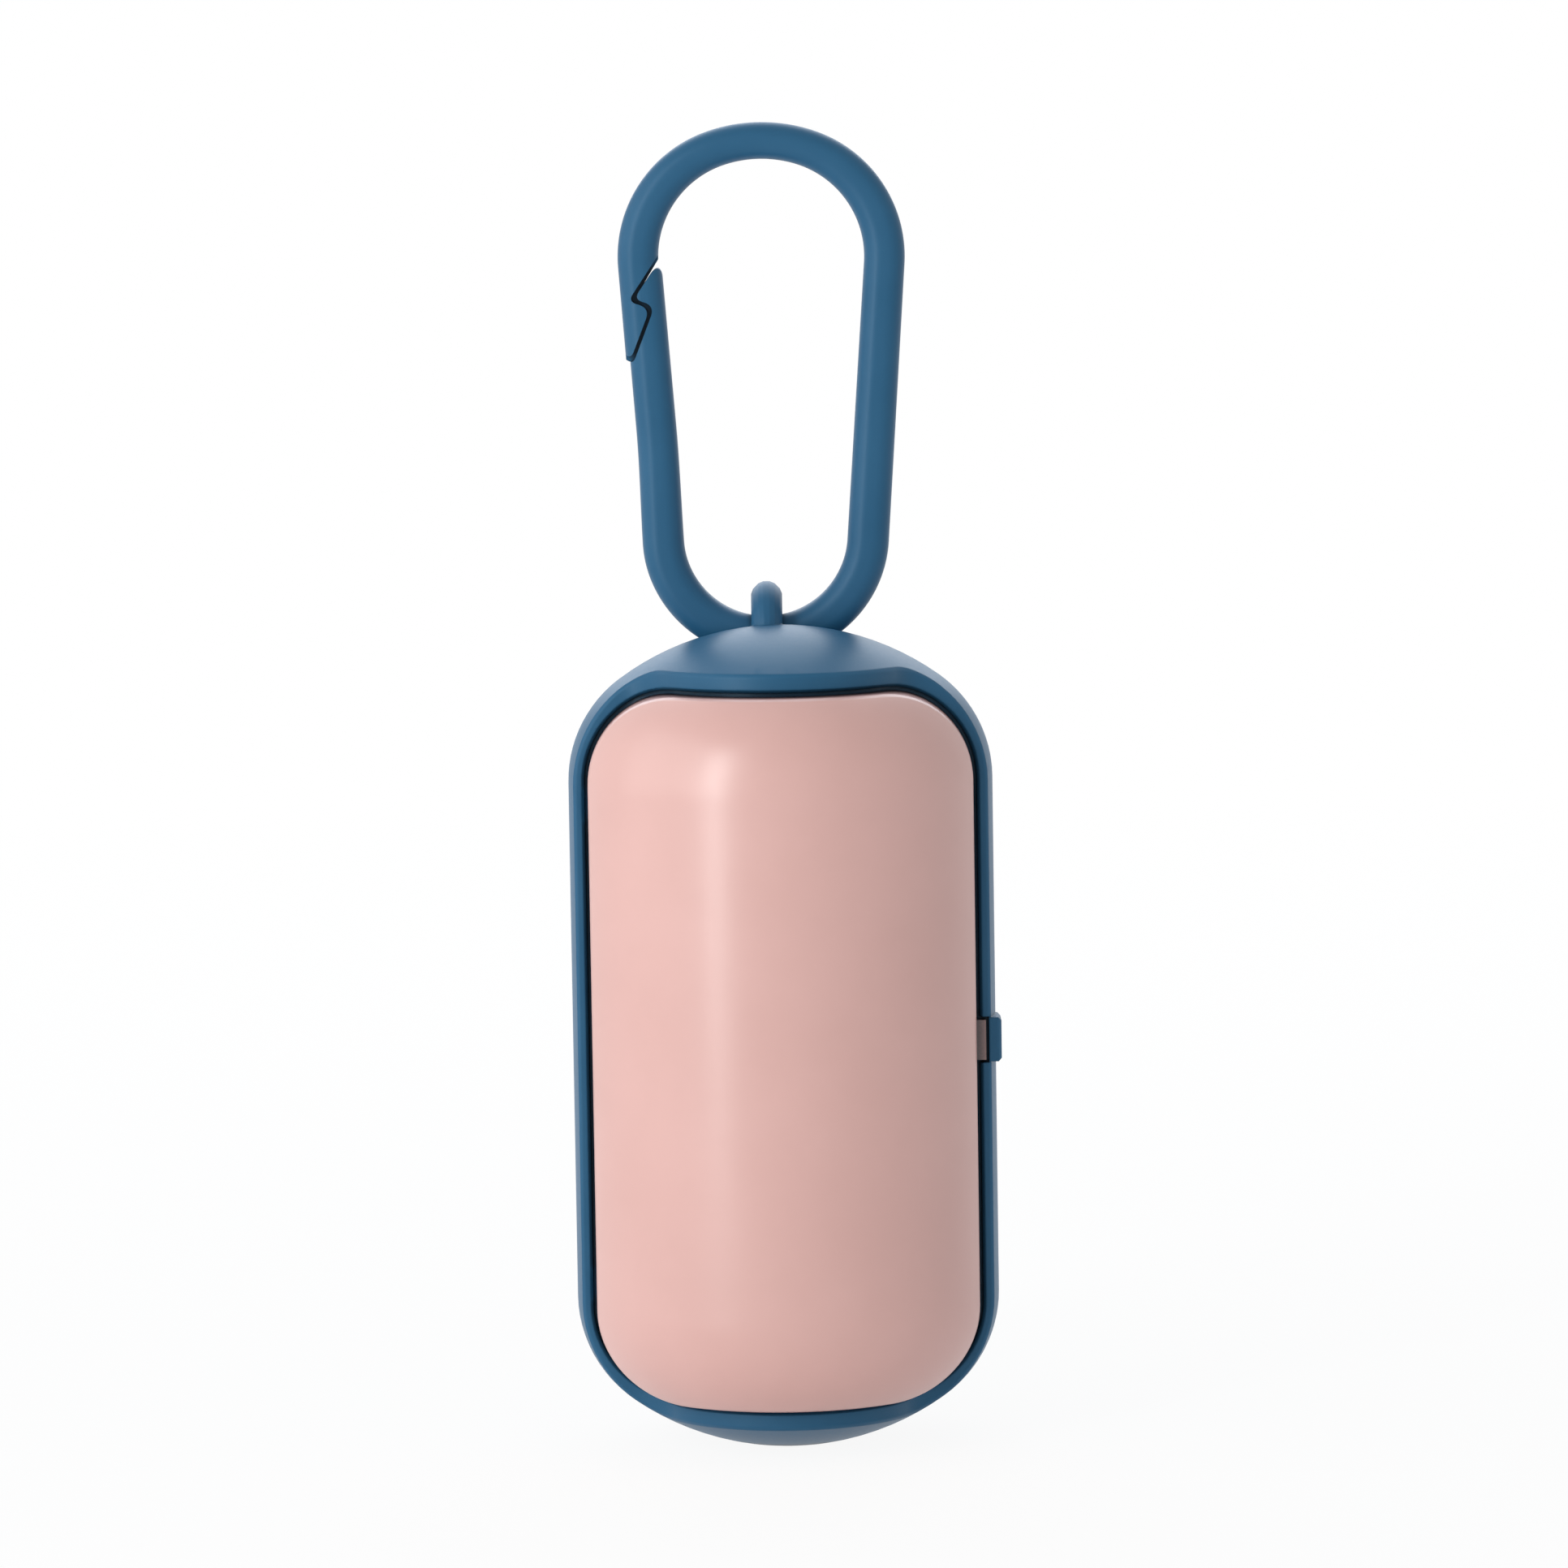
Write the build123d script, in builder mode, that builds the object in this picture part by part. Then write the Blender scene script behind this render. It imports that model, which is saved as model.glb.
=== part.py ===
# Waste bag dispenser: a capsule case with a hinged door, hung on a one-piece snap hook.
# Origin: the top of the hook's loop, where it hangs. +Z is up and the door faces -Y. Millimetres.
import os
from math import asin, atan2, cos, degrees, hypot, radians, sin, sqrt

from build123d import *

os.makedirs("parts", exist_ok=True)

# Snap hook: a flat loop of moulded wire in the XZ plane, wide at the top and tapering down
hook_inner_width = 20.5  # inside, at the widest height
hook_taper = 4.1  # narrower than that where the lower bend starts
hook_inner_length = 45.6  # from the hang point to the bottom of the loop's inside
hook_top_width = 3.65  # wire width at the crown
hook_side_width = 4.05  # wire width at the sides
hook_inner_foot_width = hook_inner_width - hook_taper
hook_shoulder_drop = hook_inner_width / 2 - 0.55  # from the hang point to the centre of the shoulder arcs
hook_inner_crown = hook_inner_width / 2 + 1.55  # radius of the flatter arc at the top, inside
hook_outer_crown = hook_inner_width / 2 + hook_side_width + 2.3  # and outside
hook_bottom_width = 4.15  # wire width in the lower bend
hook_thickness = 3.9
hook_edge_bevels = (1.2, 0.36)  # one after the other, which leaves a nearly round wire

# Sprung arm, and its lightning-shaped seam as points (inwards of the wire's middle, below the top)
arm_inset = 0.4  # how far the arm's outer side lies inside the nose's
arm_step = 0.15  # how far the arm's inner side stands into the loop
arm_root_drop = 33.5  # the arm's flexing root below the hang point
seam_gap = 0.3
seam_tip = (-1.85, 20.0)
seam_heel = (1.15, 14.15)
seam_hook = (-1.45, 14.0)
seam_mouth = (2.8, 8.5)
seam_heel_radius = 0.7
seam_hook_radius = 0.35
root_gap = 0.2

# Roll of bags on its cardboard core
roll_radius = 15.5
roll_length = 60.0
core_bore_radius = 6.5
core_wall = 1.0
core_overhang = 0.6  # the core stands out of the winding at each end
roll_seat_gap = 0.3
roll_side_gap = 0.6  # round the roll, where the door's skirt passes it

# Case round the roll: a capsule whose ends are flattened domes, each a crown arc with a rounded shoulder
case_wall = 1.6
case_room = 4.0  # between the roll and the wall
case_radius = roll_radius + case_room + case_wall
case_scale = case_radius / 21.1  # the outlines of case, rim and door keep their proportions
case_cap = 15.3 * case_scale  # height of each domed end, flatter than a half ball
case_shoulder_radius = 12.5 * case_scale
roll_end_reach = 4.2  # how far the roll's ends reach up and down into the domed ends
case_straight = roll_length - 2 * roll_end_reach  # height of the cylinder between them
ceiling_wall = 4.8  # the ends are thicker than the sides, for the lug and the brim
hollow_shoulder_radius = case_cap - ceiling_wall - 2.5  # inside, between the side and each end
foot_cut = 0.4  # flat on the lower end, to stand on

# Lug on the rear of the crown; the hook's lower bend runs through it along X
lug_setback = 6.0  # from the case's axis back to the middle of the lug's hole
lug_shift = 1.1  # and to the left, with the hook
lug_hole_radius = 2.45
lug_bar = 3.1  # thickness of the arch
lug_width = 3.1
lug_edge_bevels = (0.95, 0.3)  # one after the other, which leaves a nearly round bar
lug_eye_bevel = 0.4
lug_root = 1.0  # how deep the legs run into the case
crown_above_wire = 1.6  # the crown's peak above the middle of the hook's wire
shelf_drop = 2.5  # the rear shelf below the middle of the wire
crown_reach = 3.2  # the crown stays whole to this far behind the case's axis
crown_edge_bevel = 0.4

# Rim round the door
rim_setback = 5.2 * case_scale  # the rim's face in front of the case's axis, at the sides
brim_radius = 13.8 * case_scale  # upright band under the crown and over the chin
brim_blend = 5.0 * case_scale  # radius between that band and the rim's face at the sides
ledge_depth = 1.0  # the ledge behind the rim's face, in front of which the door's edge lies
rim_outer_bevel = 0.22
rim_inner_bevel = 0.3

# Door
door_width = 38.0 * case_scale
door_height = case_straight + 18.8 * case_scale  # reaches some way over both domed ends
door_corner_radius = 9.0 * case_scale
door_gap = 0.4  # all round, in the rim
door_seat_gap = 0.3  # in front of the ledge
door_recess = 0.5  # the door's surface lies this far inside the case's capsule
door_wall = 1.5
door_skirt = 1.3
door_edge_bevel = 0.3

# Latch at the right-hand side, at half height
latch_height = 4.0
latch_reach = 1.0  # how far the door's tongue stands out of its edge
latch_thickness = 0.9
latch_clearance = 0.3
nub_height = 4.4
nub_proud = 0.45
nub_length = 4.0  # front to back

# Hinge at the left-hand side
hinge_inset = 1.8  # from the door's left edge in to the pins
hinge_setforward = 1.5  # the pins in front of the rim's face
hinge_end_inset = 11.2  # from the door's ends to the middle of each hinge ear
hinge_height = door_height / 2 - hinge_end_inset
ear_thickness = 2.4
ear_eye_radius = 1.35
ear_web = 1.3
ear_arm_depth = 4.8  # from the pins back to the rear of the ear
hinge_clearance = 0.25
pin_radius = 0.7
pin_running_clearance = 0.05
pin_fit_clearance = 0.02
pin_length = 6.2
boss_radius = 1.7

# Slot in the back where the bags are pulled out
slot_width = 6.0
slot_height = 32.0
slot_edge_bevel = 0.4

# Places that follow from these sizes
wire_z = -hook_inner_length - hook_bottom_width / 2
case_half = case_straight / 2 + case_cap
case_origin = (lug_shift, -lug_setback, wire_z + crown_above_wire - case_half)
case_across = Plane(origin=case_origin, x_dir=(1, 0, 0), z_dir=(0, 0, 1))
case_front = Plane(origin=case_origin, x_dir=(1, 0, 0), z_dir=(0, -1, 0))
case_side = Plane(origin=case_origin, x_dir=(0, 1, 0), z_dir=(1, 0, 0))
case_profile = Plane(origin=case_origin, x_dir=(-1, 0, 0), z_dir=(0, 1, 0))  # its seam is at the left
case_axis = Axis(case_origin, (0, 0, 1))
hook_plane = Plane(origin=(0, 0, 0), x_dir=(1, 0, 0), z_dir=(0, -1, 0))
lug_plane = Plane(origin=(0, 0, wire_z), x_dir=(0, 1, 0), z_dir=(1, 0, 0))
reach = 2 * case_half  # as long as the case, for cuts that run right through
shelf_z = case_half - crown_above_wire - shelf_drop  # above the case's centre
hinge_x = hinge_inset - door_width / 2
hinge_y = -rim_setback - hinge_setforward
# the roll's lower edge stands on the hollow's rounded shoulder
seat_reach = roll_radius - (case_radius - case_wall - hollow_shoulder_radius)
roll_bottom = -case_straight / 2 - sqrt(hollow_shoulder_radius**2 - seat_reach**2) + roll_seat_gap


def wire_middle(drop):
    """Distance from the hook's axis to the middle of its side wire, at a depth below the hang point."""
    foot_drop = hook_inner_length - hook_inner_foot_width / 2
    share = (drop - hook_shoulder_drop) / (foot_drop - hook_shoulder_drop)
    at_foot = (hook_inner_foot_width + hook_side_width) / 2
    at_shoulder = (hook_inner_width + hook_side_width) / 2
    return at_shoulder + (at_foot - at_shoulder) * share


def loop_face(half_width, top, crown_radius, foot_radius):
    """One outline of the hook's loop: crown, shoulder, straight taper and lower bend, mirrored."""
    foot_centre = hook_inner_foot_width / 2 - hook_inner_length
    lift = crown_radius - top - hook_shoulder_drop
    shoulder_radius = (crown_radius**2 - half_width**2 - lift**2) / (2 * (crown_radius - half_width))
    centre_x = half_width - shoulder_radius
    crown_turn = degrees(atan2(centre_x, lift))
    rise = -hook_shoulder_drop - foot_centre
    # the straight side is the common tangent of the shoulder and the lower bend
    taper = degrees(atan2(centre_x, rise) + asin((shoulder_radius - foot_radius) / hypot(centre_x, rise)))
    side_end = (foot_radius * cos(radians(taper)), foot_centre - foot_radius * sin(radians(taper)))
    half_bend = radians(45 + taper / 2)
    bend_middle = (foot_radius * cos(half_bend), foot_centre - foot_radius * sin(half_bend))
    with BuildSketch() as outline:
        with BuildLine():
            crown = JernArc((0, top), (1, 0), crown_radius, -crown_turn)
            shoulder = JernArc(crown @ 1, crown % 1, shoulder_radius, crown_turn - 90 - taper)
            Line(shoulder @ 1, side_end)
            ThreePointArc(side_end, bend_middle, (0, foot_centre - foot_radius))
            mirror(about=Plane.YZ)
        make_face()
    return outline.sketch


def hook_ring(inset, step):
    """The hook's whole loop, with its outer side drawn in by inset and its inner side by step."""
    inner_foot = hook_inner_foot_width / 2
    with BuildPart() as ring:
        with BuildSketch(hook_plane.offset(-hook_thickness / 2)):
            add(
                loop_face(
                    hook_inner_width / 2 + hook_side_width - inset,
                    hook_top_width,
                    hook_outer_crown,
                    inner_foot + hook_bottom_width,
                )
            )
            add(loop_face(hook_inner_width / 2 - step, 0, hook_inner_crown, inner_foot), mode=Mode.SUBTRACT)
        extrude(amount=hook_thickness)
        for bevel in hook_edge_bevels:
            chamfer(ring.edges().filter_by(Plane.XZ), length=bevel)
    return ring.part


def arm_zone(grow, root_radius):
    """The space of the sprung arm: right of its seam, above its root, and round the root's knuckle."""
    tip, heel, hook, mouth = [
        (inward - wire_middle(drop), -drop) for inward, drop in (seam_tip, seam_heel, seam_hook, seam_mouth)
    ]
    outside = tip[0] - hook_side_width
    inside = mouth[0] + hook_side_width
    with BuildPart() as zone:
        with BuildSketch(hook_plane.offset(-hook_thickness)):
            with BuildLine():
                FilletPolyline(tip, heel, hook, mouth, radius=[seam_heel_radius, seam_hook_radius])
                Polyline(
                    mouth,
                    (inside, mouth[1]),
                    (inside, -arm_root_drop),
                    (outside, -arm_root_drop),
                    (outside, tip[1]),
                    tip,
                )
            make_face()
            offset(amount=grow, kind=Kind.INTERSECTION, mode=Mode.REPLACE)
            with Locations((-wire_middle(arm_root_drop), -arm_root_drop)):
                Circle(root_radius)
        extrude(amount=2 * hook_thickness)
    return zone.part


def pill(radius, cap, shoulder_radius):
    """A capsule of revolution on the case's axis; the crown arc is tangent to the shoulder arc."""
    centre_x = radius - shoulder_radius
    crown_radius = (centre_x**2 + cap**2 - shoulder_radius**2) / (2 * (cap - shoulder_radius))
    crown_turn = degrees(atan2(centre_x, crown_radius - cap))
    top = (0, case_straight / 2 + cap)
    with BuildPart() as capsule:
        with BuildSketch(case_profile):
            with BuildLine():
                crown = JernArc(top, (1, 0), crown_radius, -crown_turn)
                shoulder = JernArc(crown @ 1, crown % 1, shoulder_radius, crown_turn - 90)
                Line(shoulder @ 1, (radius, 0))
                Line(top, (0, 0))
                mirror(about=Plane.XZ)
            make_face()
        revolve(axis=case_axis)
    return capsule.part


def case_inset(inset):
    """The case's capsule with its whole surface drawn in."""
    return pill(case_radius - inset, case_cap - inset, case_shoulder_radius - inset)


def zone_in_front(setback):
    """The space before the rim: behind it a flat face at the sides, blended to an upright round band."""
    face = rim_setback - setback
    band = brim_radius - setback
    blend = brim_blend + setback
    blend_x = sqrt((band + blend) ** 2 - (face + blend) ** 2)
    band_end = (blend_x * band / (band + blend), -(face + blend) * band / (band + blend))
    with BuildPart() as zone:
        with BuildSketch(case_across.offset(-reach)):
            with BuildLine():
                ThreePointArc(band_end, (0, -band), (-band_end[0], band_end[1]))
                TangentArc((blend_x, -face), band_end, tangent=(-1, 0))
                TangentArc((-blend_x, -face), (-band_end[0], band_end[1]), tangent=(1, 0))
                Polyline(
                    (blend_x, -face),
                    (reach, -face),
                    (reach, -reach),
                    (-reach, -reach),
                    (-reach, -face),
                    (-blend_x, -face),
                )
            make_face()
        extrude(amount=2 * reach)
    return zone.part


def door_prism(grow):
    """The door's outline, grown all round and carried from the case's middle out to the front."""
    with BuildPart() as prism:
        with BuildSketch(case_front):
            RectangleRounded(door_width + 2 * grow, door_height + 2 * grow, door_corner_radius + grow)
        extrude(amount=reach)
    return prism.part


def ear_profile(grow):
    """A hinge ear seen from above: the eye round the pin and an arm back to the case's wall."""
    wall_x = -case_radius + case_wall / 2
    with BuildSketch() as ear:
        with Locations((hinge_x, hinge_y)):
            Circle(ear_eye_radius + grow)
        with BuildLine():
            Polyline(
                (hinge_x - grow, hinge_y),
                (hinge_x + ear_web + grow, hinge_y),
                (hinge_x + ear_web + grow, hinge_y + ear_arm_depth),
                (wall_x, hinge_y + ear_arm_depth),
                (wall_x, hinge_y + ear_arm_depth - ear_web),
                (hinge_x - grow, hinge_y + ear_arm_depth - ear_web),
                (hinge_x - grow, hinge_y),
            )
        make_face()
    return ear.sketch


def arch(radius):
    """A half round on two upright legs, which end at the lug's root."""
    with BuildSketch() as outline:
        with BuildLine():
            CenterArc((0, 0), radius, 0, 180)
            Polyline(
                (-radius, 0),
                (-radius, -shelf_drop - lug_root),
                (radius, -shelf_drop - lug_root),
                (radius, 0),
            )
        make_face()
    return outline.sketch


# The hook's frame: nose, crown, far side and lower bend, less the space of the sprung arm
arm_root_radius = hook_side_width / 2
with BuildPart() as carabiner_frame:
    add(hook_ring(0, 0))
    add(arm_zone(seam_gap / 2, arm_root_radius + root_gap / 2), mode=Mode.SUBTRACT)
carabiner_frame.part.label = "carabiner_frame"
export_step(carabiner_frame.part, "parts/carabiner_frame.step")

# The sprung arm, a little slimmer than the frame, with a round knuckle at its root
with BuildPart() as carabiner_gate:
    add(hook_ring(arm_inset, arm_step))
    add(arm_zone(-seam_gap / 2, arm_root_radius - root_gap / 2), mode=Mode.INTERSECT)
carabiner_gate.part.label = "carabiner_gate"
export_step(carabiner_gate.part, "parts/carabiner_gate.step")

# The hollow inside the case, which stays below the shelf behind the crown
with BuildPart() as cavity:
    add(pill(case_radius - case_wall, case_cap - ceiling_wall, hollow_shoulder_radius))
    with BuildSketch(case_side.offset(-reach)):
        with Locations((crown_reach - case_wall, shelf_z - case_wall)):
            Rectangle(reach, reach, align=(Align.MIN, Align.MIN))
    extrude(amount=2 * reach, mode=Mode.SUBTRACT)

# The door's opening in the front, down to the ledge
with BuildPart() as doorway:
    add(door_prism(door_gap))
    add(zone_in_front(ledge_depth), mode=Mode.INTERSECT)

# The lug: an arch over the wire, its front leg on the crown and its rear leg on the shelf
with BuildPart() as lug:
    with BuildSketch(lug_plane.offset(-lug_width / 2)):
        add(arch(lug_hole_radius + lug_bar))
    extrude(amount=lug_width)
    for bevel in lug_edge_bevels:
        chamfer(lug.edges().filter_by(Plane.YZ).filter_by(Axis.Y, reverse=True), length=bevel)
    with BuildSketch(lug_plane.offset(-lug_width)):
        add(arch(lug_hole_radius))
    extrude(amount=2 * lug_width, mode=Mode.SUBTRACT)
    chamfer(lug.edges(Select.NEW).filter_by(Axis.Y, reverse=True), length=lug_eye_bevel)

# The rear shell: dome, rim, chin and foot in one moulding, with lug, hinge ears, latch and bag slot
with BuildPart() as rear_shell:
    add(case_inset(0))
    with BuildSketch(case_across.offset(-case_half)):
        Circle(case_radius)
    extrude(amount=foot_cut, mode=Mode.SUBTRACT)
    add(zone_in_front(0), mode=Mode.SUBTRACT)
    chamfer(rear_shell.edges(Select.NEW), length=rim_outer_bevel)
    # nub behind the latch, which thickens the wall there
    with BuildSketch(case_across.offset(-nub_height / 2)):
        with Locations((case_radius + nub_proud, -rim_setback)):
            Rectangle(case_wall, nub_length, align=(Align.MAX, Align.MIN))
    extrude(amount=nub_height)
    nub_side = rear_shell.faces().sort_by(Axis.X)[-1]
    chamfer(nub_side.edges(), length=nub_proud * 0.7)
    add(doorway.part, mode=Mode.SUBTRACT)
    chamfer(rear_shell.edges(Select.NEW), length=rim_inner_bevel)
    add(cavity.part, mode=Mode.SUBTRACT)
    # shelf behind the crown, where the hook's lower bend lies
    with BuildSketch(case_side.offset(-reach)):
        with Locations((crown_reach, shelf_z)):
            Rectangle(reach, reach, align=(Align.MIN, Align.MIN))
    extrude(amount=2 * reach, mode=Mode.SUBTRACT)
    chamfer(rear_shell.edges(Select.NEW).sort_by(Axis.Z)[-1], length=crown_edge_bevel)
    add(lug.part)
    # hinge ears
    for side in (-1, 1):
        with BuildSketch(case_across.offset(side * hinge_height - ear_thickness / 2)):
            add(ear_profile(0))
            with Locations((hinge_x, hinge_y)):
                Circle(pin_radius + pin_running_clearance, mode=Mode.SUBTRACT)
        extrude(amount=ear_thickness)
    # pocket in the rim for the door's tongue
    with BuildSketch(case_across.offset(-latch_height / 2 - latch_clearance)):
        with Locations((door_width / 2, -rim_setback - latch_clearance)):
            Rectangle(
                latch_reach + latch_clearance,
                ledge_depth + latch_clearance,
                align=(Align.MIN, Align.MIN),
            )
    extrude(amount=latch_height + 2 * latch_clearance, mode=Mode.SUBTRACT)
    # slot for the bags in the back
    with BuildSketch(case_front.offset(-case_radius / 2)):
        SlotOverall(slot_height, slot_width, rotation=90)
    extrude(amount=-case_radius, mode=Mode.SUBTRACT)
    chamfer(rear_shell.edges(Select.NEW), length=slot_edge_bevel)
rear_shell.part.label = "rear_shell"
export_step(rear_shell.part, "parts/rear_shell.step")

# The door: a shell that follows the capsule, with a skirt back to the ledge, bosses and a tongue
with BuildPart() as door_hollow:
    add(case_inset(door_recess + door_wall))
    add(door_prism(-door_skirt), mode=Mode.INTERSECT)
    with BuildSketch(case_across.offset(roll_bottom - roll_seat_gap)):
        Circle(roll_radius + roll_side_gap)
    extrude(amount=roll_length + 2 * roll_seat_gap)

with BuildPart() as front_cover:
    add(case_inset(door_recess))
    add(door_prism(0), mode=Mode.INTERSECT)
    chamfer(front_cover.edges(Select.NEW), length=door_edge_bevel)
    add(zone_in_front(ledge_depth - door_seat_gap), mode=Mode.INTERSECT)
    add(door_hollow.part, mode=Mode.SUBTRACT)
    for side in (-1, 1):
        with BuildSketch(case_across.offset(side * hinge_height - pin_length / 2)):
            with Locations((hinge_x, hinge_y)):
                Circle(boss_radius)
        extrude(amount=pin_length)
        # room for the ear, which stays clear of the door all the way open
        with BuildSketch(case_across.offset(side * hinge_height - ear_thickness / 2 - hinge_clearance)):
            add(ear_profile(hinge_clearance))
            with Locations((hinge_x + ear_web + hinge_clearance, hinge_y - hinge_clearance)):
                Rectangle(case_radius, ear_arm_depth, align=(Align.MAX, Align.MIN))
        extrude(amount=ear_thickness + 2 * hinge_clearance, mode=Mode.SUBTRACT)
        with BuildSketch(case_across.offset(side * hinge_height - pin_length / 2)):
            with Locations((hinge_x, hinge_y)):
                Circle(pin_radius + pin_fit_clearance)
        extrude(amount=pin_length, mode=Mode.SUBTRACT)
    # latch tongue
    with BuildSketch(case_across.offset(-latch_height / 2)):
        with Locations((door_width / 2 + latch_reach, -rim_setback + ledge_depth - door_seat_gap)):
            Rectangle(latch_reach + door_skirt / 2, latch_thickness, align=(Align.MAX, Align.MAX))
    extrude(amount=latch_height)
front_cover.part.label = "front_cover"
export_step(front_cover.part, "parts/front_cover.step")

# Steel hinge pins, held in the door's bosses and turning in the shell's ears
for side, name in ((1, "hinge_pin_upper"), (-1, "hinge_pin_lower")):
    with BuildPart() as hinge_pin:
        with BuildSketch(case_across.offset(side * hinge_height - pin_length / 2)):
            with Locations((hinge_x, hinge_y)):
                Circle(pin_radius)
        extrude(amount=pin_length)
        chamfer(hinge_pin.edges().filter_by(GeomType.CIRCLE), length=pin_radius / 4)
    hinge_pin.part.label = name
    export_step(hinge_pin.part, f"parts/{name}.step")

# The roll of bags on its core
with BuildPart() as bag_roll:
    with BuildSketch(case_across.offset(roll_bottom)):
        Circle(roll_radius)
        Circle(core_bore_radius + core_wall, mode=Mode.SUBTRACT)
    extrude(amount=roll_length)
bag_roll.part.label = "bag_roll"
export_step(bag_roll.part, "parts/bag_roll.step")

with BuildPart() as roll_core:
    with BuildSketch(case_across.offset(roll_bottom - core_overhang)):
        Circle(core_bore_radius + core_wall)
        Circle(core_bore_radius, mode=Mode.SUBTRACT)
    extrude(amount=roll_length + 2 * core_overhang)
roll_core.part.label = "roll_core"
export_step(roll_core.part, "parts/roll_core.step")
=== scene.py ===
import math

import bmesh
import bpy
import numpy as np
from mathutils import Matrix, Vector


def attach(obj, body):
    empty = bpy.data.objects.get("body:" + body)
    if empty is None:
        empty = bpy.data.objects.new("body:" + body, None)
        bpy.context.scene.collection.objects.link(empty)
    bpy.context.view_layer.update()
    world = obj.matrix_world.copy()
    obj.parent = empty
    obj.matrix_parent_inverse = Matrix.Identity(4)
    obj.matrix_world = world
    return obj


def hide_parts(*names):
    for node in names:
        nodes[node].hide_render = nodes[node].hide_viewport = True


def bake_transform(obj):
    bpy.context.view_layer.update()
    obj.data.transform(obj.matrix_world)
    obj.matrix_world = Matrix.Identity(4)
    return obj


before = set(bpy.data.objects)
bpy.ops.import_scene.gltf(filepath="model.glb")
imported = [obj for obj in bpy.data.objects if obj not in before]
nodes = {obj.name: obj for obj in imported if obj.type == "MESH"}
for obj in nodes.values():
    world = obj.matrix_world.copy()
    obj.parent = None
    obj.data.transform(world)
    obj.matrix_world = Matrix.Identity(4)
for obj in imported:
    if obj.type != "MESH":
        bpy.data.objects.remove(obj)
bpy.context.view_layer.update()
mm = 0.001

print("frame loaded:", len(nodes), "nodes")


def newMaterial(name, roughness=0.5, metallic=0.0, specular=0.5):
    material = bpy.data.materials.new(name)
    material.use_nodes = True
    shader = material.node_tree.nodes["Principled BSDF"]
    shader.inputs["Roughness"].default_value = roughness
    shader.inputs["Metallic"].default_value = metallic
    shader.inputs["Specular IOR Level"].default_value = specular
    return material, material.node_tree, shader


def noise(tree, scale, detail=4.0, roughness=0.5, stretch=(1, 1, 1)):
    # noise on object coordinates, stretched by the mapping's scale
    coords = tree.nodes.new("ShaderNodeTexCoord")
    mapping = tree.nodes.new("ShaderNodeMapping")
    mapping.inputs["Scale"].default_value = stretch
    texture = tree.nodes.new("ShaderNodeTexNoise")
    texture.inputs["Scale"].default_value = scale
    texture.inputs["Detail"].default_value = detail
    texture.inputs["Roughness"].default_value = roughness
    tree.links.new(coords.outputs["Object"], mapping.inputs["Vector"])
    tree.links.new(mapping.outputs["Vector"], texture.inputs["Vector"])
    return texture.outputs["Fac"]


def colourBetween(tree, shader, factor, dark, light, low=0.35, high=0.65):
    # a ramp from dark to light over the middle of the noise
    ramp = tree.nodes.new("ShaderNodeValToRGB")
    ramp.color_ramp.elements[0].position = low
    ramp.color_ramp.elements[1].position = high
    ramp.color_ramp.elements[0].color = (*dark, 1)
    ramp.color_ramp.elements[1].color = (*light, 1)
    tree.links.new(factor, ramp.inputs["Fac"])
    tree.links.new(ramp.outputs["Color"], shader.inputs["Base Color"])


def roughnessBetween(tree, shader, factor, low, high):
    span = tree.nodes.new("ShaderNodeMapRange")
    span.inputs["To Min"].default_value = low
    span.inputs["To Max"].default_value = high
    tree.links.new(factor, span.inputs["Value"])
    tree.links.new(span.outputs["Result"], shader.inputs["Roughness"])


def bumpFrom(tree, shader, height, strength, distance):
    bump = tree.nodes.new("ShaderNodeBump")
    bump.inputs["Strength"].default_value = strength
    bump.inputs["Distance"].default_value = distance
    tree.links.new(height, bump.inputs["Height"])
    tree.links.new(bump.outputs["Normal"], shader.inputs["Normal"])


blueSatin = {
    "colours": ((0.019, 0.104, 0.207), (0.024, 0.115, 0.224)),
    # the crevice shade colour, samples, reach and share below set the painted shade in gaps and seams
    "paintedShadeColour": (0.001, 0.004, 0.009),
    "specular": 0.35,
    "specularTint": (0.68, 0.86, 1.0),
    "roughness": (0.38, 0.46),
    "mottlePerMetre": 90,
    "grainPerMetre": 2600,
    "grainStrength": 0.12,
    "grainDepth": 0.00002,
    "paintedShadeSamples": 12,
    "paintedShadeReach": 0.0011,
    "paintedShadeShare": (0.15, 0.70),
    "softEdge": 0.0003,
}
pinkSatin = {
    **blueSatin,
    "colours": ((0.728, 0.428, 0.386), (0.752, 0.446, 0.404)),
    # longer painted shade reach, so the latch tongue deep in its notch is painted dark as if shaded
    "paintedShadeColour": (0.030, 0.013, 0.018),
    "paintedShadeReach": 0.0028,
    "paintedShadeShare": (0.62, 0.97),
    "specular": 0.85,
    "specularTint": (1.0, 1.0, 1.0),
    "roughness": (0.28, 0.34),
}


def paintedCreviceShade(tree, shader, look):
    # painted shade: the base colour falls to a dark shade colour as the open share of the near
    # surroundings falls, so gaps, seams and recesses are painted dark where shade falls
    closeness = tree.nodes.new("ShaderNodeAmbientOcclusion")
    closeness.samples = look["paintedShadeSamples"]
    closeness.inputs["Distance"].default_value = look["paintedShadeReach"]
    openness = tree.nodes.new("ShaderNodeMapRange")
    closed, clear = look["paintedShadeShare"]
    openness.inputs["From Min"].default_value = closed
    openness.inputs["From Max"].default_value = clear
    mix = tree.nodes.new("ShaderNodeMix")
    mix.data_type = "RGBA"
    colour = shader.inputs["Base Color"].links[0].from_socket
    tree.links.new(closeness.outputs["AO"], openness.inputs["Value"])
    tree.links.new(openness.outputs["Result"], mix.inputs["Factor"])
    dark, light = [socket for socket in mix.inputs if socket.type == "RGBA"]
    mixed = [socket for socket in mix.outputs if socket.type == "RGBA"][0]
    dark.default_value = (*look["paintedShadeColour"], 1)
    tree.links.new(colour, light)
    tree.links.new(mixed, shader.inputs["Base Color"])


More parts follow.
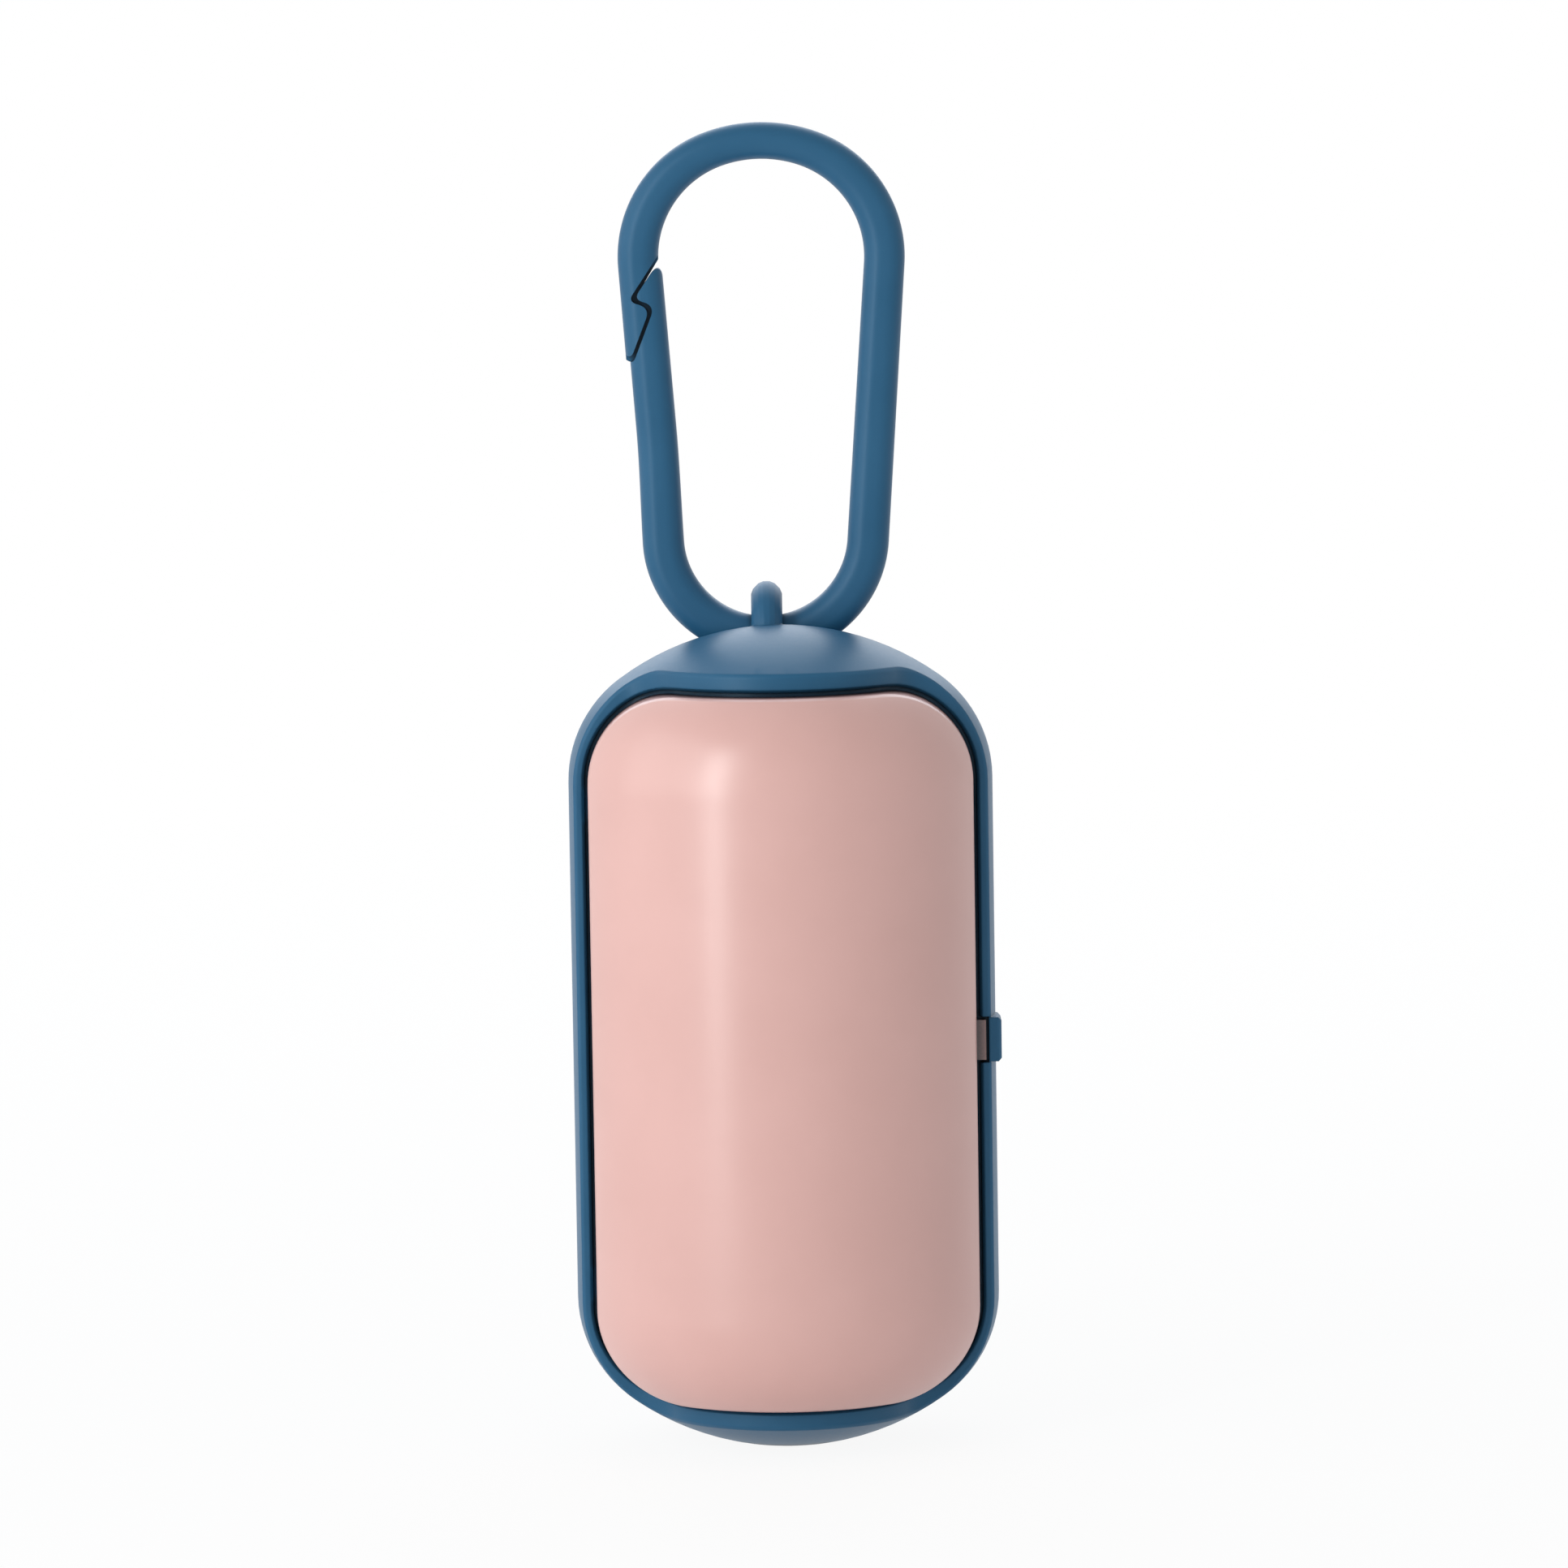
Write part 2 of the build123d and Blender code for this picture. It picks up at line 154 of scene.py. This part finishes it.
def satin(name, look):
    # moulded plastic: faint mottling in the colour, painted shade in the crevices and gaps, fine grain in
    # the gloss and the surface
    material, tree, shader = newMaterial(name, specular=look["specular"])
    shader.inputs["Specular Tint"].default_value = (*look["specularTint"], 1)
    colourBetween(tree, shader, noise(tree, look["mottlePerMetre"], 3), *look["colours"])
    # painted shade: occlusion darkens the colour in crevices and gaps
    paintedCreviceShade(tree, shader, look)
    grain = noise(tree, look["grainPerMetre"], 2)
    roughnessBetween(tree, shader, grain, *look["roughness"])
    bumpFrom(tree, shader, grain, look["grainStrength"], look["grainDepth"])
    if look["softEdge"]:  # the shading runs round the corners in place of a hard line
        softEdge = tree.nodes.new("ShaderNodeBevel")
        softEdge.samples = 6
        softEdge.inputs["Radius"].default_value = look["softEdge"]
        bump = shader.inputs["Normal"].links[0].from_node
        tree.links.new(softEdge.outputs["Normal"], bump.inputs["Normal"])
    return material


bluePlastic = satin("BlueSatinPlastic", blueSatin)
hookPlastic = satin("BlueHookPlastic", {**blueSatin, "softEdge": 0})
pinkPlastic = satin("PinkSatinPlastic", pinkSatin)


def drawnSteel():
    # bright wire with fine lines round the pin
    material, tree, shader = newMaterial("DrawnSteel", roughness=0.3, metallic=1.0)
    lines = noise(tree, 2500, 2, stretch=(1, 1, 12))
    colourBetween(tree, shader, lines, (0.50, 0.50, 0.52), (0.66, 0.66, 0.68))
    roughnessBetween(tree, shader, lines, 0.22, 0.36)
    return material


def bagFilm():
    # charcoal film: long faint creases along the roll, softly shining
    material, tree, shader = newMaterial("CharcoalBagFilm", roughness=0.4, specular=0.5)
    creases = noise(tree, 240, 5, 0.6, stretch=(1, 1, 0.12))
    colourBetween(tree, shader, creases, (0.012, 0.012, 0.014), (0.030, 0.030, 0.034))
    roughnessBetween(tree, shader, creases, 0.30, 0.50)
    bumpFrom(tree, shader, creases, 0.5, 0.0003)
    return material


def greyBoard():
    material, tree, shader = newMaterial("GreyBoard", roughness=0.85, specular=0.2)
    fibres = noise(tree, 900, 6, 0.7)
    colourBetween(tree, shader, fibres, (0.23, 0.165, 0.105), (0.36, 0.27, 0.18))
    bumpFrom(tree, shader, fibres, 0.3, 0.0001)
    return material


finishes = {
    "carabiner_frame": hookPlastic,
    "carabiner_gate": hookPlastic,
    "rear_shell": bluePlastic,
    "front_cover": pinkPlastic,
    "hinge_pin_upper": drawnSteel(),
    "bag_roll": bagFilm(),
    "roll_core": greyBoard(),
}
finishes["hinge_pin_lower"] = finishes["hinge_pin_upper"]


def dress(obj, material):
    obj.data.materials.clear()
    obj.data.materials.append(material)


for nodeName, material in finishes.items():
    dress(nodes[nodeName], material)
print("materials given to the frame's nodes")


def gridMesh(name, points, closeRows=False, closeColumns=False, flip=False):
    # points[row, column] joined into quads; a closed direction joins its last line to its first
    rows, columns = points.shape[:2]
    index = np.arange(rows * columns).reshape(rows, columns)
    if closeRows:
        index = np.vstack([index, index[:1]])
    if closeColumns:
        index = np.hstack([index, index[:, :1]])
    corners = [index[:-1, :-1], index[:-1, 1:], index[1:, 1:], index[1:, :-1]]
    quads = np.stack(corners[::-1] if flip else corners, axis=-1).reshape(-1, 4)
    mesh = bpy.data.meshes.new(name)
    mesh.vertices.add(rows * columns)
    mesh.vertices.foreach_set("co", points.reshape(-1).astype(np.float32))
    mesh.loops.add(quads.size)
    mesh.loops.foreach_set("vertex_index", quads.reshape(-1).astype(np.int32))
    mesh.polygons.add(len(quads))
    mesh.polygons.foreach_set("loop_start", np.arange(0, quads.size, 4, dtype=np.int32))
    mesh.update(calc_edges=True)
    mesh.validate()
    return mesh


def newPiece(name, mesh, material, sharpAngle=40):
    obj = bpy.data.objects.new(name, mesh)
    bpy.context.collection.objects.link(obj)
    dress(obj, material)
    mesh.shade_smooth()
    mesh.set_sharp_from_angle(angle=math.radians(sharpAngle))
    return obj


def carve(piece, outline, depths, how):
    # a polygon in the XZ plane, carried along Y between two depths, cuts the piece
    # or keeps what is inside it
    near, far = depths
    count = len(outline)
    corners = [(x * mm, y * mm, z * mm) for y in (near, far) for x, z in outline]
    sides = [(i, (i + 1) % count, (i + 1) % count + count, i + count) for i in range(count)]
    mesh = bpy.data.meshes.new("Cutter")
    mesh.from_pydata(corners, [], sides + [tuple(range(count))[::-1], tuple(range(count, 2 * count))])
    cutter = bpy.data.objects.new("Cutter", mesh)
    bpy.context.collection.objects.link(cutter)
    shape = bmesh.new()
    shape.from_mesh(mesh)
    bmesh.ops.recalc_face_normals(shape, faces=shape.faces)
    shape.to_mesh(mesh)
    shape.free()
    cut = piece.modifiers.new("Cut", "BOOLEAN")
    cut.operation = how
    cut.solver = "EXACT"
    cut.object = cutter
    bpy.context.view_layer.update()
    done = bpy.data.meshes.new_from_object(piece.evaluated_get(bpy.context.evaluated_depsgraph_get()))
    piece.modifiers.clear()
    done.name = piece.data.name
    piece.data = done
    bpy.data.objects.remove(cutter)


hookSizes = {
    "innerWidth": 20.5,
    "innerFootWidth": 16.4,
    "innerLength": 45.6,
    "shoulderDrop": 9.7,
    "innerCrown": 11.8,
    "outerCrown": 16.6,
    "topWidth": 3.65,
    "sideWidth": 4.05,
    "bottomWidth": 4.15,
    "thickness": 3.9,
    "edgeRadius": 1.7,
    "armInset": 0.4,
    "armStep": 0.3,
    "armRootDrop": 33.5,
    "armBlend": 14.0,
    "armBend": 6.8,
    "armFootDrop": 41.0,
    "seam": ((-2.45, 19.25), (-1.50, 19.9), (1.05, 14.45), (-1.05, 13.8), (3.0, 8.4)),
    "seamRounding": (0.7, 1.2, 0.9),
    "seamGap": 0.38,
    "lipHalf": 0.5,
    "lipEnd": 12.1,
    "lipFade": 0.4,
    "mouthShare": 0.8,
    "tipReach": 2.3,
    "tipSide": (0.5, 8.0),
    "tipRounding": 2.0,
    "cutPast": 3.0,
    "cutDepth": 5.0,
    "sharpAngle": 35,
    "ringsAlong": 760,
    "pointsPerCorner": 10,
}


def loopOutline(halfWidth, top, crownRadius, footRadius, count):
    # crown arc, shoulder arc and foot arc, joined by the tapering side and mirrored;
    # count points at even distances
    h = hookSizes
    lift = crownRadius - top - h["shoulderDrop"]
    shoulder = (crownRadius**2 - halfWidth**2 - lift**2) / (2 * (crownRadius - halfWidth))
    centre = halfWidth - shoulder
    footCentre = h["innerFootWidth"] / 2 - h["innerLength"]
    rise = -h["shoulderDrop"] - footCentre
    turn = math.atan2(centre, lift)
    taper = math.atan2(centre, rise) + math.asin((shoulder - footRadius) / math.hypot(centre, rise))
    a = np.linspace(0, turn, 400)
    b = np.linspace(turn, math.pi / 2 + taper, 600)
    c = np.linspace(math.pi / 2 + taper, math.pi, 600)
    x = np.concatenate([crownRadius * np.sin(a), centre + shoulder * np.sin(b), footRadius * np.sin(c)])
    z = np.concatenate([
        top - crownRadius + crownRadius * np.cos(a),
        -h["shoulderDrop"] + shoulder * np.cos(b),
        footCentre + footRadius * np.cos(c),
    ])
    x, z = np.concatenate([x, -x[::-1]]), np.concatenate([z, z[::-1]])
    along = np.concatenate([[0], np.cumsum(np.hypot(np.diff(x), np.diff(z)))])
    even = np.linspace(0, along[-1], count, endpoint=False)
    return np.stack([np.interp(even, along, x), np.interp(even, along, z)], axis=1)


def hookWire(inset, step):
    # a rounded oblong section carried round the loop;
    # inset and step move its outer and inner side at each depth
    h = hookSizes
    inner = loopOutline(h["innerWidth"] / 2, 0, h["innerCrown"], h["innerFootWidth"] / 2, h["ringsAlong"])
    outer = loopOutline(
        h["innerWidth"] / 2 + h["sideWidth"], h["topWidth"], h["outerCrown"],
        h["innerFootWidth"] / 2 + h["bottomWidth"], 4000,
    )
    ahead = np.roll(inner, -1, 0) - np.roll(inner, 1, 0)
    ahead /= np.linalg.norm(ahead, axis=1)[:, None]
    outward = np.stack([-ahead[:, 1], ahead[:, 0]], axis=1)
    width = np.sqrt(((inner[:, None] - outer[None]) ** 2).sum(2)).min(1)
    depth = -inner[:, 1]
    outerSide, innerSide = width - inset(depth), -step(depth)
    middle = inner + outward * ((outerSide + innerSide) / 2)[:, None]
    half = (outerSide - innerSide) / 2
    quarter = np.linspace(0, math.pi / 2, h["pointsPerCorner"])
    angle = np.concatenate([quarter + k * math.pi / 2 for k in range(4)])
    sideX = np.repeat([1, -1, -1, 1], h["pointsPerCorner"])
    sideY = np.repeat([1, 1, -1, -1], h["pointsPerCorner"])
    r = h["edgeRadius"]
    across = sideX * (half[:, None] - r) + r * np.cos(angle)
    y = np.broadcast_to(sideY * (h["thickness"] / 2 - r) + r * np.sin(angle), across.shape)
    x = middle[:, :1] + outward[:, :1] * across
    z = middle[:, 1:] + outward[:, 1:] * across
    return np.stack([x, y, z], axis=2) * mm


def wireMiddle(drop):
    # distance of the side wire's middle from the hook's axis, on the straight taper
    h = hookSizes
    footDrop = h["innerLength"] - h["innerFootWidth"] / 2
    share = (drop - h["shoulderDrop"]) / (footDrop - h["shoulderDrop"])
    atShoulder, atFoot = (h["innerWidth"] + h["sideWidth"]) / 2, (h["innerFootWidth"] + h["sideWidth"]) / 2
    return atShoulder + (atFoot - atShoulder) * share


def rounded(points, lengths, steps=9):
    # each inner corner becomes a curve that leaves its two legs at the given length
    path = [points[0]]
    t = np.linspace(0, 1, steps)[:, None]
    for before, corner, after, length in zip(points, points[1:], points[2:], lengths):
        leaving = corner + (before - corner) / np.linalg.norm(before - corner) * length
        joining = corner + (after - corner) / np.linalg.norm(after - corner) * length
        path.extend((1 - t) ** 2 * leaving + 2 * t * (1 - t) * corner + t**2 * joining)
    return path + [points[-1]]


def armOutline(grow, mouthGrow=None, roundTip=False):
    # the lightning seam moved towards the nose by grow, closed round the arm down to its foot
    h = hookSizes
    seam = np.array([(inward - wireMiddle(drop), -drop) for inward, drop in h["seam"]])
    run = np.diff(seam, axis=0)
    run /= np.linalg.norm(run, axis=1)[:, None]
    across = np.stack([-run[:, 1], run[:, 0]], axis=1)
    moved = [seam[0] + across[0] * grow]
    for k in (1, 2, 3):  # where the two moved lines cross
        a, b = seam[k] + across[k - 1] * grow, seam[k] + across[k] * grow
        share = np.cross(b - a, run[k]) / np.cross(run[k - 1], run[k])
        moved.append(a + run[k - 1] * share)
    lengths = h["seamRounding"]
    if mouthGrow is not None:  # the lip ends part of the way up the mouth
        lipEnd = seam[3] + run[3] * (-h["lipEnd"] - seam[3][1]) / run[3][1]
        moved.append(lipEnd + across[3] * grow)
        lengths = (*lengths, h["lipFade"])
        grow = mouthGrow
    if roundTip:  # a line just outside the arm's inner side, whose corner cuts the tip round
        share = (h["tipReach"] - wireMiddle(-seam[4][1]) - moved[3][0]) / run[3][0]
        tip = moved[3] + run[3] * share
        aside, down = h["tipSide"]
        below = tip[1] - down
        moved += [tip, np.array([h["tipReach"] + aside - wireMiddle(-below), below])]
        lengths = (*lengths, h["tipRounding"])
    else:
        end = seam[-1] + across[-1] * grow
        moved += [end, end + run[-1] * h["cutPast"]]
    last, foot = moved[-1], -h["armFootDrop"]
    past = last[0] + h["cutPast"]
    closing = [(past, last[1]), (past, foot), (moved[0][0], foot)]
    return [tuple(p) for p in rounded(moved, lengths)] + closing


def makeHook():
    h = hookSizes
    gap, deep = h["seamGap"] / 2, h["cutDepth"]
    frameWire = gridMesh("SnapHookFrame", hookWire(lambda d: 0 * d, lambda d: 0 * d), True, True)
    hook = newPiece("SnapHookFrame", frameWire, hookPlastic)
    # the first cut leaves a lip that closes the seam half way through
    carve(hook, armOutline(-gap, gap * h["mouthShare"]), (-deep, deep), "DIFFERENCE")
    carve(hook, armOutline(gap), (-deep, -h["lipHalf"]), "DIFFERENCE")
    carve(hook, armOutline(gap), (h["lipHalf"], deep), "DIFFERENCE")

    def slim(depth):
        # 1 along the arm, easing to 0 below its root
        t = np.clip((h["armRootDrop"] + h["armBlend"] / 2 - depth) / h["armBlend"], 0, 1)
        return t * t * (3 - 2 * t)

    armPoints = hookWire(lambda d: h["armInset"] * slim(d), lambda d: h["armStep"] * slim(d))
    armWire = gridMesh("SnapHookArm", armPoints, True, True)
    arm = newPiece("SnapHookArm", armWire, hookPlastic)
    carve(arm, armOutline(-gap, roundTip=True), (-deep, deep), "INTERSECT")
    for piece in (hook, arm):
        piece.data.shade_smooth()
        piece.data.set_sharp_from_angle(angle=math.radians(h["sharpAngle"]))
    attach(hook, "hook")
    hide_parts("carabiner_frame")
    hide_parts("carabiner_gate")
    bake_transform(arm)


makeHook()
print("snap hook made")


rollSizes = {
    "radius": 15.45,
    "coreRadius": 7.52,
    "looseEnd": 0.22,
    "edgeWave": 0.02,
    "waveTurns": (0.55, 1.7),
    "waveStart": 1.3,
    "edgeRadius": 0.9,
    "layerPitch": 0.36,
    "layerRise": 0.16,
    "sag": 0.175,
    "sagTurns": 1.9,
    "sagSway": 0.8,
    "endSoft": 0.5,
    "columns": 300,
    "endRows": 44,
    "sideRows": 40,
    "cornerRows": 6,
}


def makeRoll():
    # a section from the core over the upper end, the side and the lower end, swept round;
    # the radius falls over one turn to the free edge, and the ends rise and sink layer by layer
    r = rollSizes
    corners = np.array(nodes["bag_roll"].bound_box)
    low, high = corners.min(0) / mm, corners.max(0) / mm
    corner = np.linspace(0, math.pi / 2, r["cornerRows"])
    inside = r["radius"] - r["edgeRadius"]
    half = (high[2] - low[2]) / 2
    straight = half - r["edgeRadius"]
    endAcross = np.linspace(r["coreRadius"], inside, r["endRows"], endpoint=False)
    sideAlong = np.linspace(straight, -straight, r["sideRows"] + 2)[1:-1]
    across = np.concatenate([
        endAcross, inside + r["edgeRadius"] * np.sin(corner), np.full(r["sideRows"], r["radius"]),
        inside + r["edgeRadius"] * np.cos(corner), endAcross[::-1],
    ])
    along = np.concatenate([
        np.full(r["endRows"], half), straight + r["edgeRadius"] * np.cos(corner), sideAlong,
        -straight - r["edgeRadius"] * np.sin(corner), np.full(r["endRows"], -half),
    ])
    turn = np.linspace(0, 2 * math.pi, r["columns"], endpoint=False)[None]
    across, along = across[:, None], along[:, None]
    slow, fast = r["waveTurns"]
    wave = r["edgeWave"] * (np.sin(along * slow + r["waveStart"]) + np.sin(along * fast))
    share = (turn / (2 * math.pi) - wave) % 1.0
    outer = np.clip((across - r["coreRadius"]) / (r["radius"] - r["coreRadius"]), 0, 1)
    radius = across - r["looseEnd"] * share * outer**2
    isEnd = np.clip((inside - across) / r["endSoft"], 0, 1) * (np.abs(along) > straight)
    layers = np.abs(((across / r["layerPitch"] - turn / (2 * math.pi)) % 1.0) * 2 - 1)
    drift = 0.5 + 0.5 * np.sin(across * r["sagTurns"] + np.sin(turn * 2) * r["sagSway"])
    drop = isEnd * (r["layerRise"] * layers + r["sag"] * drift)
    z = (low[2] + high[2]) / 2 + along - np.sign(along) * drop
    x = (low[0] + high[0]) / 2 + radius * np.cos(turn)
    y = (low[1] + high[1]) / 2 + radius * np.sin(turn)
    points = np.stack([x, y, np.broadcast_to(z, x.shape)], axis=2) * mm
    wound = gridMesh("WoundBagRoll", points, True, True)
    roll = newPiece("WoundBagRoll", wound, finishes["bag_roll"], 50)
    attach(roll, "roll")
    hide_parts("bag_roll")


makeRoll()
print("bag roll made")


studio = {
    "floorHeight": -0.1279,
    "floorSize": 8.0,
    "floorWhite": 0.92,
    "floorFade": (0.06, 0.60),
    "ambientLow": 0.565,
    "ambientHigh": 0.335,
    "keyPower": 3.28,
    "keyPlace": (-0.66, -0.35, 0.06),
    "keySize": (1.0, 1.0),
    "stripPower": 0.50,
    "stripPlace": (-0.206, -0.292, -0.035),
    "stripSize": (0.044, 0.42),
    "backPower": 1.9,
    "backColour": (0.82, 0.90, 1.0),
    "backPlace": (0.0, 0.42, 0.30),
    "backSize": (0.60, 0.60),
}


def seenDirectly(tree):
    # 1 for a camera, glossy or transmission ray, otherwise 0
    rays = tree.nodes.new("ShaderNodeLightPath")
    first = tree.nodes.new("ShaderNodeMath")
    second = tree.nodes.new("ShaderNodeMath")
    for node in (first, second):
        node.operation = "MAXIMUM"
    tree.links.new(rays.outputs["Is Camera Ray"], first.inputs[0])
    tree.links.new(rays.outputs["Is Glossy Ray"], first.inputs[1])
    tree.links.new(first.outputs["Value"], second.inputs[0])
    tree.links.new(rays.outputs["Is Transmission Ray"], second.inputs[1])
    return second.outputs["Value"]


def stageFloor():
    # one square, mostly self-lit to the camera so that it stays white and keeps a faint shadow
    half = studio["floorSize"] / 2
    mesh = bpy.data.meshes.new("StudioFloor")
    square = [(-half, -half, 0), (half, -half, 0), (half, half, 0), (-half, half, 0)]
    mesh.from_pydata(square, [], [(0, 1, 2, 3)])
    floor = bpy.data.objects.new("StudioFloor", mesh)
    floor.location.z = studio["floorHeight"]
    bpy.context.collection.objects.link(floor)
    material, tree, shader = newMaterial("PaleFloor", roughness=0.9, specular=0.1)
    shader.inputs["Base Color"].default_value = (0.9, 0.9, 0.9, 1)
    glow = tree.nodes.new("ShaderNodeEmission")
    glow.inputs["Strength"].default_value = 1.0
    mix = tree.nodes.new("ShaderNodeMixShader")
    coords = tree.nodes.new("ShaderNodeTexCoord")
    length = tree.nodes.new("ShaderNodeVectorMath")
    length.operation = "LENGTH"
    fade = tree.nodes.new("ShaderNodeMapRange")  # whiter with the distance from the object's foot
    fade.inputs["From Min"].default_value, fade.inputs["From Max"].default_value = studio["floorFade"]
    fade.inputs["To Min"].default_value, fade.inputs["To Max"].default_value = studio["floorWhite"], 1.0
    share = tree.nodes.new("ShaderNodeMath")
    share.operation = "MULTIPLY"
    tree.links.new(coords.outputs["Object"], length.inputs[0])
    tree.links.new(length.outputs["Value"], fade.inputs["Value"])
    tree.links.new(seenDirectly(tree), share.inputs[0])
    tree.links.new(fade.outputs["Result"], share.inputs[1])
    tree.links.new(share.outputs["Value"], mix.inputs["Fac"])
    tree.links.new(shader.outputs["BSDF"], mix.inputs[1])
    tree.links.new(glow.outputs["Emission"], mix.inputs[2])
    tree.links.new(mix.outputs["Shader"], tree.nodes["Material Output"].inputs["Surface"])
    mesh.materials.append(material)


stageFloor()


def whiteWorld():
    # white to the camera and in reflections; as light it fades from the horizon up to the zenith
    world = bpy.data.worlds.new("PaleStudio")
    bpy.context.scene.world = world
    world.use_nodes = True
    tree = world.node_tree
    background = tree.nodes["Background"]
    background.inputs["Color"].default_value = (1, 1, 1, 1)
    coords = tree.nodes.new("ShaderNodeTexCoord")
    split = tree.nodes.new("ShaderNodeSeparateXYZ")
    tree.links.new(coords.outputs["Generated"], split.inputs["Vector"])
    fade = tree.nodes.new("ShaderNodeMapRange")
    fade.inputs["To Min"].default_value = studio["ambientLow"]
    fade.inputs["To Max"].default_value = studio["ambientHigh"]
    tree.links.new(split.outputs["Z"], fade.inputs["Value"])
    blend = tree.nodes.new("ShaderNodeMapRange")
    blend.inputs["To Max"].default_value = 1.0
    tree.links.new(seenDirectly(tree), blend.inputs["Value"])
    tree.links.new(fade.outputs["Result"], blend.inputs["To Min"])
    tree.links.new(blend.outputs["Result"], background.inputs["Strength"])


whiteWorld()


def areaLight(name, place, aim, size, power, colour=(1, 1, 1)):
    light = bpy.data.lights.new(name, "AREA")
    light.shape = "RECTANGLE"
    light.size, light.size_y = size
    light.energy = power
    light.color = colour
    lamp = bpy.data.objects.new(name, light)
    bpy.context.collection.objects.link(lamp)
    lamp.location = place
    lamp.rotation_mode = "QUATERNION"
    lamp.rotation_quaternion = (Vector(aim) - Vector(place)).to_track_quat("-Z", "Y")
    return lamp


aim = (0.0011, -0.006, -0.075)
areaLight("KeySoftbox", studio["keyPlace"], aim, studio["keySize"], studio["keyPower"])
areaLight("StripSoftbox", studio["stripPlace"], aim, studio["stripSize"], studio["stripPower"])
areaLight(
    "BackSoftbox", studio["backPlace"], aim, studio["backSize"], studio["backPower"],
    studio["backColour"],
)

view = {
    "target": (0.00145, -0.006, -0.06192),
    "distance": 0.745,
    "elevation": 6.0,
    "azimuth": 0.0,
    "roll": 0.9,
    "focalPixels": 9223,
    "imagePixels": 1932,
}


def photoCamera():
    camera = bpy.data.cameras.new("PhotoCamera")
    camera.sensor_width = 36
    camera.lens = 36 * view["focalPixels"] / view["imagePixels"]
    camera.clip_start, camera.clip_end = 0.05, 20
    holder = bpy.data.objects.new("PhotoCamera", camera)
    bpy.context.collection.objects.link(holder)
    azimuth, elevation = math.radians(view["azimuth"]), math.radians(view["elevation"])
    back = Vector((
        math.sin(azimuth) * math.cos(elevation),
        -math.cos(azimuth) * math.cos(elevation),
        math.sin(elevation),
    ))
    turn = (-back).to_track_quat("-Z", "Y").to_matrix().to_4x4()
    turn = turn @ Matrix.Rotation(math.radians(-view["roll"]), 4, "Z")
    holder.matrix_world = Matrix.Translation(Vector(view["target"]) + back * view["distance"]) @ turn
    bpy.context.scene.camera = holder


photoCamera()
bpy.context.scene.view_settings.view_transform = "Standard"
print("floor, lights and camera set")
